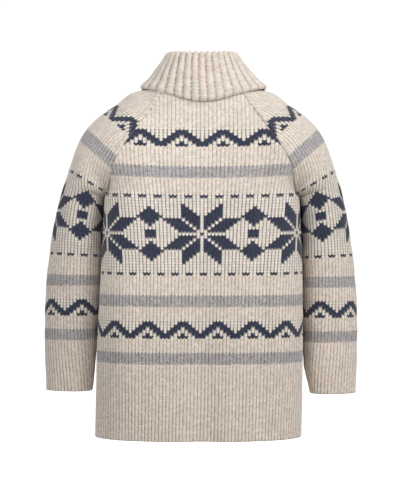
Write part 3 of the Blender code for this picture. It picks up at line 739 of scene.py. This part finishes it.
def woolMaterial(name, colours, lean):
    # Cream, grey and navy wool by each stitch's own yarn, with painted brown shade in the valleys and between
    # stitches, dotted by floats behind.
    material, tree, coords = newMaterial(name)
    stitches = tree.nodes.new("ShaderNodeUVMap")
    stitches.uv_map = "stitches"
    yarn = tree.nodes.new("ShaderNodeAttribute")
    yarn.attribute_name = "yarn"
    parts = tree.nodes.new("ShaderNodeSeparateColor")
    tree.links.new(yarn.outputs["Color"], parts.inputs[0])
    navy, grey, work = parts.outputs["Red"], parts.outputs["Green"], parts.outputs["Blue"]
    light, fibre = woolFibre(tree, coords, colours["mottle"])
    place = stitchPlace(tree, stitches.outputs["UV"], lean)
    knots = noiseNode(tree, coords, "knots")
    # Heather: the grey yarn has light and dark fibres, and the others have some too.
    speckle = noiseNode(tree, coords, "speckle")
    heather = mixNode(tree, rampNode(tree, speckle, "heather"), colours["greyDark"], colours["greyLight"])
    marl = mixNode(tree, rampNode(tree, speckle, "marl"), colours["creamDark"], colours["cream"])
    dark = mixNode(tree, rampNode(tree, speckle, "navySpeck"), colours["navy"], colours["navySpeck"])
    base = mixNode(tree, navy, mixNode(tree, grey, marl, heather), dark)
    # Each stitch and each knot is a little lighter or darker.
    for value, spread in ((yarn.outputs["Alpha"], colours["toneSpread"]), (knots, colours["knotSpread"])):
        light = scaled(tree, value, spread, mathNode(tree, "ADD", light, -spread / 2))
    light = mathNode(tree, "ADD", light, colours["brighter"])
    shade = mixNode(tree, 1.0, base, light, "MULTIPLY")
    # Painted shade between a column's stitches: in patches, and hardly where two yarns are worked.
    patches = rampNode(tree, noiseNode(tree, coords, "patches"), "patches")
    gapShades = product(tree, product(tree, place["gap"], scaled(tree, work, -colours["gapShadeWorked"], 1.0)), patches)
    # Valleys: painted brown shade between the columns, fainter where two yarns are worked, stronger in grey,
    # patchy, and deeper towards the hem and the cuffs, by the height in a straight line.
    share = scaled(tree, work, -colours["valleyShadeWorked"], colours["valleyShadeShare"])
    share = scaled(tree, grey, colours["valleyShadeGrey"], share)
    patchy = scaled(tree, rampNode(tree, knots, "knots"), *colours["valleyShadePatches"])
    level = 1.0 + colours["shadeDeepen"] * colours["shadeDeepenFrom"]
    deeperShade = scaled(tree, axisNode(tree, coords, "Z"), -colours["shadeDeepen"], level)
    valleyShade = product(tree, place["valleyShade"], product(tree, share, product(tree, patchy, deeperShade)))
    # The gaps' painted shade joins the valleys', and both darken towards the same brown.
    valleyShade = mathNode(tree, "MINIMUM", scaled(tree, gapShades, colours["gap"], valleyShade), 1.0)
    shade = mixNode(tree, valleyShade, shade, mixNode(tree, 1.0, shade, colours["valleyShade"], "MULTIPLY"))
    dots = product(tree, product(tree, place["dot"], work), scaled(tree, knots, *colours["dotPatches"]))
    height = scaled(tree, place["strand"], 0.10, fibre)
    height = mathNode(tree, "SUBTRACT", height, product(tree, place["groove"], 0.25))
    bump = tree.nodes.new("ShaderNodeBump")
    bump.inputs["Strength"].default_value = 0.75
    bump.inputs["Distance"].default_value = 0.0011
    tree.links.new(height, bump.inputs["Height"])
    finishMaterial(tree, {
        "Base Color": mixNode(tree, dots, shade, colours["float"]),
        "Roughness": 0.93,
        "Specular IOR Level": 0.18,
        "Sheen Weight": 0.22,
        "Sheen Roughness": 0.55,
        "Normal": bump.outputs["Normal"],
    })
    return material


wool = {
    "cream": (0.850, 0.797, 0.735, 1.0),
    "creamDark": (0.745, 0.680, 0.610, 1.0),
    "greyLight": (0.680, 0.670, 0.690, 1.0),
    "greyDark": (0.250, 0.245, 0.265, 1.0),
    "navy": (0.026, 0.034, 0.068, 1.0),
    "navySpeck": (0.110, 0.125, 0.170, 1.0),
    # Painted shade: the warm brown towards which the valleys between columns and the gaps between stitches
    # are darkened, and how strongly.
    "valleyShade": (0.58, 0.415, 0.315, 1.0),
    "valleyShadeShare": 1.10,
    "valleyShadeWorked": 0.75,
    "valleyShadeGrey": 0.25,
    "valleyShadePatches": (0.95, 0.22),
    "shadeDeepen": 0.9,  # the painted valley shade grows by this for each metre below the height that follows
    "shadeDeepenFrom": -0.4,
    # How strongly the gaps between a column's stitches take the painted shade.
    "gap": 0.50,
    "gapShadeWorked": 0.7,
    "float": (0.036, 0.034, 0.046, 1.0),
    "dotPatches": (0.8, 0.62),
    "mottle": 0.24,
    "toneSpread": 0.16,
    "knotSpread": 0.15,
    "brighter": 0.02,
}
bodyWool = woolMaterial("bodyWool", wool, stitch["vee"])
# The collar's ribs take less painted valley shade, and the same at every height.
collarWool = woolMaterial("collarWool", {**wool, "valleyShadeShare": 0.85, "shadeDeepen": 0.0}, 0.5)
print("materials made")

# The back and the front: the rows of their ribbing and bands, and their soft folds as
# (across, height, half width, half height, depth).
bodyValues = {
    "ribRows": 17,
    "plan": {"stripes": ((27, 30), (47, 50), (92, 95)), "waves": (36, 103), "stars": 72, "dashes": (58, 85)},
    "backFolds": (
        (0.000, -0.640, 0.034, 0.260, 0.0110),
        (-0.124, -0.560, 0.013, 0.160, 0.0022),
        (0.130, -0.230, 0.018, 0.130, 0.0070),
        (0.125, -0.520, 0.020, 0.200, 0.0065),
        (-0.196, -0.560, 0.014, 0.160, 0.0030),
    ),
    "frontFolds": (
        (0.052, -0.630, 0.022, 0.180, 0.0055),
        (-0.064, -0.660, 0.018, 0.150, 0.0045),
        (0.150, -0.270, 0.017, 0.080, 0.0035),
        (-0.152, -0.300, 0.019, 0.090, 0.0040),
        (-0.150, -0.620, 0.018, 0.090, 0.0030),
    ),
}


def settle(v, rows):
    # Legs lean up by up to a row, so the rows between the edges sit lower by half of that.
    return 0.4 * ease(v, 0, 5) * ease(rows - v, 0, 5)


def ribbedShare(ribRows):
    # 1 in the ribbing, 0 over it, and a soft step of four rows between.
    return lambda v: 1 - ease(v, ribRows - 3, ribRows + 1)


def makeBody(name, facing, folds, seed):
    surface = bodySurface(facing, folds)
    rowHeight = (cloth["neck"] - cloth["hem"]) / cloth["bodyRows"]
    widest = (surface["length"] / readTable(pitchTable, 1, surface["key"])).max()

    def key(u, v):
        flat = cloth["hem"] + (v - settle(v, cloth["bodyRows"])) * rowHeight
        return np.minimum(flat + readTable(riseTable, 1, flat) * (u / widest) ** 2, cloth["neck"])

    def half(z):
        # Half the panel's width in stitches.
        return np.interp(z, surface["key"], surface["length"]) / readTable(pitchTable, 1, z)

    values = {
        "rows": cloth["bodyRows"],
        "stitches": 2 * widest,
        "seamRise": lambda v: 0 * v,
        "key": key,
        "half": half,
        "ribbed": ribbedShare(bodyValues["ribRows"]),
        "seed": seed,
        "mirror": 1,
    }
    return knitPanel(name, surface, values, bodyValues["plan"], bodyWool)


backPiece = makeBody("sweaterBack", -1, bodyValues["backFolds"], 11)
frontPiece = makeBody("sweaterFront", 1, bodyValues["frontFolds"], 12)
print("body made")

# The sleeves: the rows of their cuff and bands, and their soft folds as
# (place from the cuff, half length, depth).
sleeveValues = {
    "ribRows": 13,
    "seamRise": 0.0034,
    "plan": {"stripes": ((19, 22), (39, 42), (92, 96)), "waves": (28, 105), "stars": 65, "dashes": (50, 80)},
    "folds": (
        (0.115, 0.016, 0.0030),
        (0.175, 0.014, 0.0025),
        (0.255, 0.018, 0.0030),
        (0.330, 0.015, 0.0022),
    ),
}


def makeSleeve(name, side, seed):
    surface = sleeveSurface(side, sleeveValues["folds"])
    rowLength = surface["key"][-1] / cloth["sleeveRows"]
    underarmRow = surface["underarm"] / rowLength
    pitch = cloth["sleevePitch"]
    values = {
        "rows": cloth["sleeveRows"],
        "stitches": 2 * surface["length"].max() / pitch,
        "seamRise": lambda v: sleeveValues["seamRise"] * ease(v, underarmRow + 1, underarmRow + 8),
        "key": lambda u, v: (v - settle(v, cloth["sleeveRows"])) * rowLength + 0 * u,
        "half": lambda h: np.interp(h, surface["key"], surface["length"]) / pitch,
        "ribbed": ribbedShare(sleeveValues["ribRows"]),
        "seed": seed,
        "mirror": side,
    }
    return knitPanel(name, surface, values, sleeveValues["plan"], bodyWool)


sleeveLeft = makeSleeve("sweaterSleeveLeft", -1, 21)
sleeveRight = makeSleeve("sweaterSleeveRight", 1, 22)
print("sleeves made")

collarValues = {
    "ribs": 34,
    "perRib": 10,
    "rows": 84,
    "innerRows": 43,
    "innerPerRib": 2,
    "wall": 0.0030,
    "relief": 0.0046,
    "sink": 0.0022,
    "rowsPerStitch": 2,
    "tuck": 0.80,  # a stitch's first row stands this much of the relief
    "bead": 0.40,  # height of the bound off edge's round bead, as a share of the relief
    "beadShare": (0.35, 0.45),
    "seamFrom": (0.78, 0.95),
    "seamLoss": 0.5,
    "edgeShare": 0.25,  # share of the thickness at the flap's edge, which curls under
    "profile": (0.0, 0.10, 0.48, 0.86, 1.0, 0.93, 1.0, 0.86, 0.48, 0.10),
    "vee": (0.0, 0.0, 0.55, 0.42, 0.22, 0.0, 0.22, 0.42, 0.55, 0.0),
}
# The middle of the collar's cloth from the flap's edge over the fold to the neck seam,
# as (side, side height, back, back height, front, front height, ring power, shift to the right).
collarStations = np.array((
    (0.1322, 0.0048, 0.0888, -0.0288, 0.0970, -0.0500, 2.05, 0.0054),
    (0.1338, 0.0088, 0.0925, -0.0240, 0.0985, -0.0450, 2.05, 0.0055),
    (0.1285, 0.0148, 0.0930, -0.0160, 0.0972, -0.0350, 2.05, 0.0054),
    (0.1165, 0.0250, 0.0905, -0.0025, 0.0935, -0.0195, 2.05, 0.0048),
    (0.1056, 0.0375, 0.0868, 0.0145, 0.0890, -0.0005, 2.08, 0.0036),
    (0.0955, 0.0500, 0.0830, 0.0320, 0.0845, 0.0190, 2.10, 0.0028),
    (0.0862, 0.0620, 0.0790, 0.0500, 0.0800, 0.0370, 2.10, 0.0024),
    (0.0790, 0.0725, 0.0748, 0.0675, 0.0752, 0.0540, 2.10, 0.0020),
    (0.0755, 0.0785, 0.0720, 0.0740, 0.0724, 0.0605, 2.10, 0.0020),
    (0.0715, 0.0805, 0.0685, 0.0762, 0.0688, 0.0626, 2.10, 0.0020),
    (0.0678, 0.0785, 0.0650, 0.0740, 0.0654, 0.0605, 2.10, 0.0020),
    (0.0662, 0.0735, 0.0636, 0.0685, 0.0642, 0.0550, 2.15, 0.0020),
    (0.0682, 0.0560, 0.0648, 0.0520, 0.0656, 0.0380, 2.25, 0.0020),
    (0.0730, 0.0380, 0.0668, 0.0360, 0.0680, 0.0200, 2.40, 0.0020),
    (0.0790, 0.0262, 0.0690, 0.0230, 0.0702, 0.0020, 2.55, 0.0020),
    (0.0836, 0.0185, 0.0702, 0.0150, 0.0714, -0.0110, 2.63, 0.0020),
))


def collarMiddle(place, angle):
    # Rings |x/a|^n + |y/b|^n = 1 in polar form along the profile. Heights blend by the sine squared.
    spacing = lineLengths(collarStations[:, [0, 1]])
    side, sideZ, back, backZ, front, frontZ, power, shift = (
        smoothAt(place, spacing / spacing[-1], collarStations[:, c]) for c in range(8)
    )
    toBack = np.sin(angle) > 0
    depth = np.where(toBack, back, front)
    depthZ = np.where(toBack, backZ, frontZ)
    radius = np.abs(np.cos(angle) / side) ** power + np.abs(np.sin(angle) / depth) ** power
    radius = radius ** (-1 / power)
    z = sideZ + (depthZ - sideZ) * np.sin(angle) ** 2
    return np.stack([radius * np.cos(angle) + shift, -radius * np.sin(angle), z], axis=-1)


def collarFace(place, angle, offset):
    # The middle surface moved out along its normal, which small steps in both directions give.
    here = collarMiddle(place, angle)
    tiny = 0.002
    up = collarMiddle(np.minimum(place + tiny, 1), angle)
    up = up - collarMiddle(np.maximum(place - tiny, 0), angle)
    along = collarMiddle(place, angle + tiny) - collarMiddle(place, angle - tiny)
    normal = np.cross(up, along)
    normal /= np.linalg.norm(normal, axis=-1, keepdims=True)
    return here + normal * np.asarray(offset)[..., None]


def ringFaces(start, rows, count):
    # The points' numbers row by row, each row's first one again at its end, and the faces between.
    index = start + np.arange(rows * count).reshape(rows, count)
    index = np.concatenate([index, index[:, :1]], axis=1)
    quads = np.stack([index[:-1, :-1], index[1:, :-1], index[1:, 1:], index[:-1, 1:]], axis=2)
    return index, quads.reshape(-1, 4)


def makeCollar():
    values = collarValues
    per, ribs, rows, perStitch = values["perRib"], values["ribs"], values["rows"], values["rowsPerStitch"]
    count = ribs * per
    column = np.arange(count)
    profile = np.array(values["profile"])[column % per][None, :]
    vee = np.array(values["vee"])[column % per][None, :]
    angle = (column / count * 2 * np.pi)[None, :]
    row = np.arange(rows + 1)[:, None]
    shifted = np.clip(row + vee * perStitch * ease(row, 0, 4) * ease(rows - row, 0, 3), 0, rows)
    place = shifted / rows
    tuck = np.where(row % perStitch == 0, values["tuck"], 1.0)
    # The bound off edge is one plain bead, higher at the sides.
    atSides, everywhere = values["beadShare"]
    bead = (1 - ease(row, 0.5, 3.0)) * (everywhere + atSides * np.cos(angle) ** 4)
    raised = values["relief"] * (profile * tuck * (1 - bead) + values["bead"] * bead)
    raised = raised * (1 - values["seamLoss"] * ease(place, *values["seamFrom"])) - values["sink"]
    rounded = values["edgeShare"] + (1 - values["edgeShare"]) * ease(row, 0, 2)
    outer = collarFace(place, angle, (values["wall"] / 2 + raised) * rounded)
    coarse = ribs * values["innerPerRib"]
    innerRow = np.linspace(0, 1, values["innerRows"])[:, None]
    innerAngle = (np.arange(coarse) / coarse * 2 * np.pi)[None, :]
    inner = collarFace(innerRow, innerAngle, -values["wall"] / 2)
    points = np.concatenate([outer.reshape(-1, 3), inner.reshape(-1, 3)])
    index, quads = ringFaces(0, rows + 1, count)
    innerIndex, innerQuads = ringFaces((rows + 1) * count, values["innerRows"], coarse)
    quads = np.concatenate([quads, innerQuads[:, [0, 3, 2, 1]]])
    outerAt = np.arange(count + 1) / count
    innerAt = np.arange(coarse + 1) / coarse
    low = zipLines(index[0], outerAt, innerIndex[0], innerAt)
    high = zipLines(index[-1], outerAt, innerIndex[-1], innerAt)[:, ::-1]
    triangles = np.concatenate([low, high])
    uvOuter = np.broadcast_arrays(column / per - 0.5, shifted / perStitch)
    uvInner = np.broadcast_arrays(innerAngle / (2 * np.pi) * ribs, innerRow * rows / perStitch)
    uv = np.concatenate([np.stack(pair, axis=2).reshape(-1, 2) for pair in (uvOuter, uvInner)])
    # All of it is cream, each stitch of the outer face with its own tone.
    yarn = np.zeros((len(quads) + len(triangles), 4))
    yarn[:, 3] = 0.5
    tone = np.random.default_rng(5).random((rows // perStitch + 1, ribs))
    rowOf, ribOf = np.arange(rows)[:, None] // perStitch, column[None, :] // per
    yarn[: rows * count, 3] = tone[rowOf, ribOf].ravel()
    return makeMesh("sweaterCollar", points, quads, triangles, uv, yarn, collarWool)


collarPiece = makeCollar()
print("collar made")

pieces = (
    (backPiece, "back", "wool_body", (0.57, 0.75), 0.360),
    (frontPiece, "front", "wool_body", (0.57, 0.73), 0.362),
    (sleeveLeft, "sleeve_left", "wool_body", (0.39, 0.77), 0.235),
    (sleeveRight, "sleeve_right", "wool_body", (0.38, 0.78), 0.238),
    (collarPiece, "collar", "wool_collar", (0.54, 0.17), None),
)
for piece, node, slotName, flat, area in pieces:
    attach(piece, "root")
    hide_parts(node)

# Floor, light and camera.
studio = {
    "distance": 3.2,
    "lookAt": (0.00108, 0.0, -0.3397),
    "metresPerPixel": 0.00215,
    "floor": -1.02,
    "shoulderPower": 42.0,
    "shoulderAngle": 13.0,
    "picture": 500,
    "worldLight": 0.45,
    "worldSeen": 1.1,
    "reach": 9.0,
    "darkPaint": (0.50, 0.50, 0.50, 1.0),
    "lightPaint": (0.54, 0.54, 0.54, 1.0),
}


def paleFloor():
    # Pale paint with a slight mottle, white to the eye as the walls are.
    material, tree, coords = newMaterial("paleFloor")
    mottle = noiseNode(tree, coords, "paint")
    finishMaterial(tree, {
        "Base Color": mixNode(tree, mottle, studio["darkPaint"], studio["lightPaint"]),
        "Roughness": 0.9,
        "Emission Color": (1.0, 1.0, 1.0, 1.0),
        "Emission Strength": tree.nodes.new("ShaderNodeLightPath").outputs["Is Camera Ray"],
    })
    return material


floorMesh = bpy.data.meshes.new("floor")
reach = studio["reach"]
corners = [(x * reach, y * reach, studio["floor"]) for x, y in ((-1, -1), (1, -1), (1, 1), (-1, 1))]
floorMesh.from_pydata(corners, [], [(0, 1, 2, 3)])
floorMesh.materials.append(paleFloor())
floor = addObject("floor", floorMesh)

# The studio's walls are white to the eye, and give a softer light than that.
world = bpy.data.worlds.new("studio")
bpy.context.scene.world = world
world.use_nodes = True
worldTree = world.node_tree
background = worldTree.nodes["Background"]
background.inputs["Color"].default_value = (1.0, 0.99, 0.975, 1.0)
seen = worldTree.nodes.new("ShaderNodeLightPath").outputs["Is Camera Ray"]
strength = scaled(worldTree, seen, studio["worldSeen"] - studio["worldLight"], studio["worldLight"])
worldTree.links.new(strength, background.inputs["Strength"])

# Square lights, as (name, place, height of the target, size, power, colour).
lights = (
    ("key", (1.9, -2.0, 0.6), -0.30, 1.0, 27.0, (1.0, 0.985, 0.96)),
    ("fill", (-0.6, -1.5, 0.4), -0.28, 0.6, 7.5, (1.0, 1.0, 1.0)),
    ("farSide", (-1.0, 2.4, 0.8), -0.28, 1.0, 24.0, (1.0, 0.99, 0.97)),
    ("top", (0.9, -0.6, 1.3), -0.28, 1.0, 6.0, (1.0, 1.0, 1.0)),
)


def placeLight(name, data, place, target):
    lamp = addObject(name, data)
    lamp.location = place
    lamp.rotation_euler = (Vector(target) - Vector(place)).to_track_quat("-Z", "Y").to_euler()


for name, place, targetHeight, size, power, colour in lights:
    light = bpy.data.lights.new(name, "AREA")
    light.shape = "RECTANGLE"
    light.size = light.size_y = size
    light.energy = power
    light.color = colour
    placeLight(name, light, place, (0.0, 0.0, targetHeight))

# A soft spot evens out the shoulder that the key light passes by.
spot = bpy.data.lights.new("shoulder", "SPOT")
spot.energy = studio["shoulderPower"]
spot.spot_size = math.radians(studio["shoulderAngle"])
spot.spot_blend = 1.0
spot.shadow_soft_size = 0.25
placeLight("shoulder", spot, (-0.9, -2.3, 0.5), (-0.125, -0.1, -0.19))

cameraData = bpy.data.cameras.new("camera")
pictureHeight = studio["picture"] * studio["metresPerPixel"]
cameraData.lens = cameraData.sensor_width * studio["distance"] / pictureHeight
camera = addObject("camera", cameraData)
camera.location = (studio["lookAt"][0], -studio["distance"], studio["lookAt"][2])
camera.rotation_euler = (math.pi / 2, 0.0, 0.0)
bpy.context.scene.camera = camera
bpy.context.scene.view_settings.view_transform = "Standard"
print("studio made")
